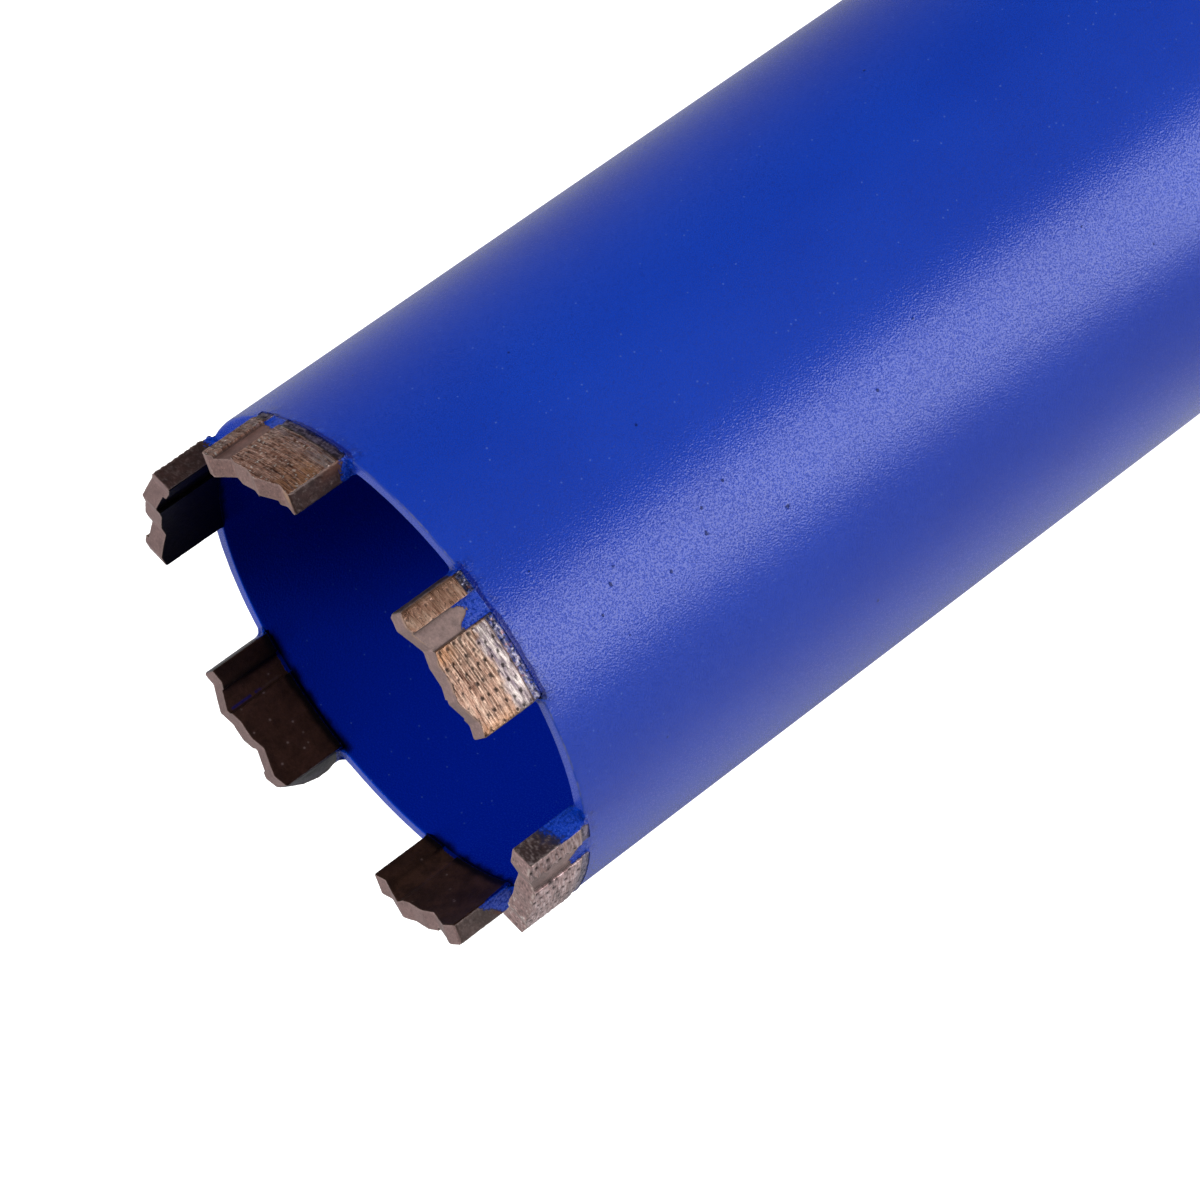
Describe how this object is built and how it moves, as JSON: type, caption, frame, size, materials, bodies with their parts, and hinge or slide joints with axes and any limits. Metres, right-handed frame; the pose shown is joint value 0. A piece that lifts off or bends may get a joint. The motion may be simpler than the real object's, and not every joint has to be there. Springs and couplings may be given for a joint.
{
  "type": "diamond core bit",
  "caption": "Thin-walled painted steel barrel with sintered diamond segments on its rim, closed at the back by a plate with a threaded hub.",
  "frame": {"origin": "centre of the hub's free end face, which is the lowest face of the standing tool", "axes": "+Z along the tool axis, from the hub to the cutting mouth; +X through the middle of segment_1"},
  "size_m": [0.082, 0.08, 0.181],
  "materials": {
    "barrel_paint": "satin powder coat, ultramarine blue, fine orange peel, inside and outside",
    "plate_paint": "satin powder coat, ultramarine blue",
    "hub_steel": "turned steel, painted blue outside, bare in the thread and on the seating face",
    "diamond_matrix": "sintered bronze-cobalt matrix with diamond grit: ground and streaked on the outside, as sintered elsewhere"
  },
  "bodies": {
    "root": {"barrel_tube": "barrel_paint", "end_plate": "plate_paint", "threaded_hub": "hub_steel", "segment_1": "diamond_matrix", "segment_2": "diamond_matrix", "segment_3": "diamond_matrix", "segment_4": "diamond_matrix", "segment_5": "diamond_matrix", "segment_6": "diamond_matrix"}
  },
  "joints": []
}
